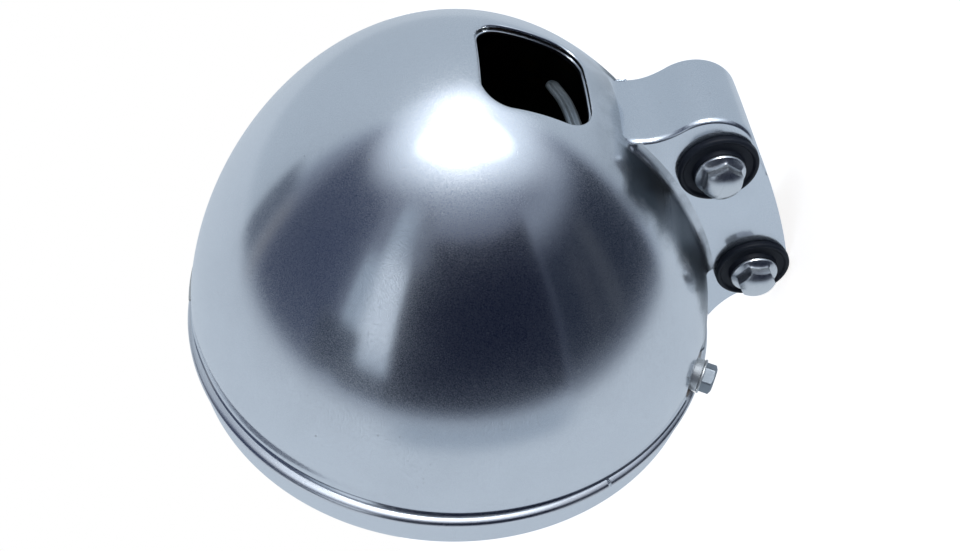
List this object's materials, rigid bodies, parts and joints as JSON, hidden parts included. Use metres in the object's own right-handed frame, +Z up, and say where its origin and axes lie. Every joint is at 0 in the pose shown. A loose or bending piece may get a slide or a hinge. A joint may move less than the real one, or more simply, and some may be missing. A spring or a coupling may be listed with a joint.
{
  "type": "motorcycle headlight",
  "caption": "Round motorcycle headlight: chromed bucket with a rear wiring hole and a rubber-bushed channel bracket, hinged rim, aimable sealed-front beam unit.",
  "frame": {"origin": "midway between the four mounting bolts, between the bracket's flanges", "axes": "+Z up as mounted, from the bracket to the lamp; -Y the way the lens faces; +X to the right of a viewer who faces the lens"},
  "size_m": [0.201, 0.1443, 0.223],
  "materials": {
    "shell_chrome": "polished chrome plate, lightly pitted",
    "rim_chrome": "polished chrome plate",
    "bolt_chrome": "polished plated steel",
    "rubber_black": "matt black rubber",
    "plain_steel": "plain zinc-plated steel",
    "dark_steel": "pressed steel with a dull grey coat",
    "clear_glass": "clear moulded glass",
    "bulb_glass": "clear thin glass",
    "mirror_metal": "bright vacuum-coated reflector",
    "ivory_plastic": "natural moulded plastic",
    "brass": "bare brass"
  },
  "bodies": {
    "bucket": {"bucket_shell": "shell_chrome", "mount_bracket": "shell_chrome", "wire_clamp": "plain_steel", "grommet_rear_right": "rubber_black", "grommet_rear_left": "rubber_black", "grommet_front_right": "rubber_black", "grommet_front_left": "rubber_black", "mount_collars": "plain_steel", "mount_bolts": "bolt_chrome"},
    "rim": {"rim": "rim_chrome", "rim_band": "rim_chrome", "rim_gasket": "rubber_black", "rim_hook": "plain_steel", "rim_screw_tabs": "plain_steel", "rim_screw_nuts": "plain_steel", "rim_screw_collars": "bolt_chrome", "rim_pivot_pins": "plain_steel", "vertical_aim_spring": "plain_steel"},
    "rim_washer_right": {"rim_washer_right": "bolt_chrome"},
    "rim_washer_left": {"rim_washer_left": "bolt_chrome"},
    "rim_screw_right": {"rim_screw_right": "bolt_chrome"},
    "rim_screw_left": {"rim_screw_left": "bolt_chrome"},
    "vertical_aim_screw": {"vertical_aim_screw": "plain_steel", "vertical_aim_clip": "plain_steel"},
    "aim_ring": {"aim_ring": "dark_steel", "beam_pivot_pins": "plain_steel", "vertical_aim_nut": "ivory_plastic", "horizontal_aim_spring": "plain_steel"},
    "horizontal_aim_screw": {"horizontal_aim_screw": "plain_steel", "horizontal_aim_clip": "plain_steel"},
    "beam": {"beam_ring": "dark_steel", "retaining_ring": "plain_steel", "lens": "clear_glass", "lens_gasket": "rubber_black", "reflector": "mirror_metal", "horizontal_aim_nut": "ivory_plastic", "bulb_glass": "bulb_glass", "bulb_base": "plain_steel", "bulb_contacts": "brass", "dust_boot": "rubber_black"},
    "bulb_retainer": {"bulb_retainer": "plain_steel"}
  },
  "joints": [
    {"name": "front_swing", "type": "hinge", "parent": "bucket", "child": "rim", "pos_m": [0, -0.06, 0.1949], "axis": [-1, 0, 0], "range_deg": [0, 38]},
    {"name": "rim_screw_right_out", "type": "slide", "parent": "rim", "child": "rim_washer_right", "axis": [0.4462, 0, -0.8949], "range_m": [0, 0.00999]},
    {"name": "rim_screw_right_turn", "type": "hinge", "parent": "rim_washer_right", "child": "rim_screw_right", "pos_m": [0.04462, -0.054, 0.00701], "axis": [0.4462, 0, -0.8949], "range_deg": [0, 3600]},
    {"name": "rim_screw_left_out", "type": "slide", "parent": "rim", "child": "rim_washer_left", "axis": [-0.4462, 0, -0.8949], "range_m": [0, 0.00999]},
    {"name": "rim_screw_left_turn", "type": "hinge", "parent": "rim_washer_left", "child": "rim_screw_left", "pos_m": [-0.04462, -0.054, 0.00701], "axis": [-0.4462, 0, -0.8949], "range_deg": [0, 3600]},
    {"name": "aim_vertical", "type": "hinge", "parent": "rim", "child": "aim_ring", "pos_m": [0, -0.053, 0.0965], "axis": [1, 0, 0], "range_deg": [-2, 2]},
    {"name": "vertical_aim_turn", "type": "hinge", "parent": "rim", "child": "vertical_aim_screw", "pos_m": [0.03394, -0.057, 0.1805], "axis": [0, 1, 0], "range_deg": [-1512, 1512]},
    {"name": "aim_horizontal", "type": "hinge", "parent": "aim_ring", "child": "beam", "pos_m": [0, -0.053, 0.0965], "axis": [0, 0, 1], "range_deg": [-2, 2]},
    {"name": "horizontal_aim_turn", "type": "hinge", "parent": "aim_ring", "child": "horizontal_aim_screw", "pos_m": [0.084, -0.057, 0.06256], "axis": [0, 1, 0], "range_deg": [-1512, 1512]},
    {"name": "bulb_retainer_twist", "type": "hinge", "parent": "beam", "child": "bulb_retainer", "pos_m": [0, -0.001, 0.0965], "axis": [0, 1, 0], "range_deg": [0, 32]}
  ],
  "couplings": [
    {"joint": "rim_screw_right_turn", "follows": "rim_screw_right_out", "rad_per_m": 6283.2},
    {"joint": "rim_screw_left_turn", "follows": "rim_screw_left_out", "rad_per_m": 6283.2},
    {"joint": "vertical_aim_turn", "follows": "aim_vertical", "ratio": 754.01},
    {"joint": "horizontal_aim_turn", "follows": "aim_horizontal", "ratio": -754.01}
  ]
}
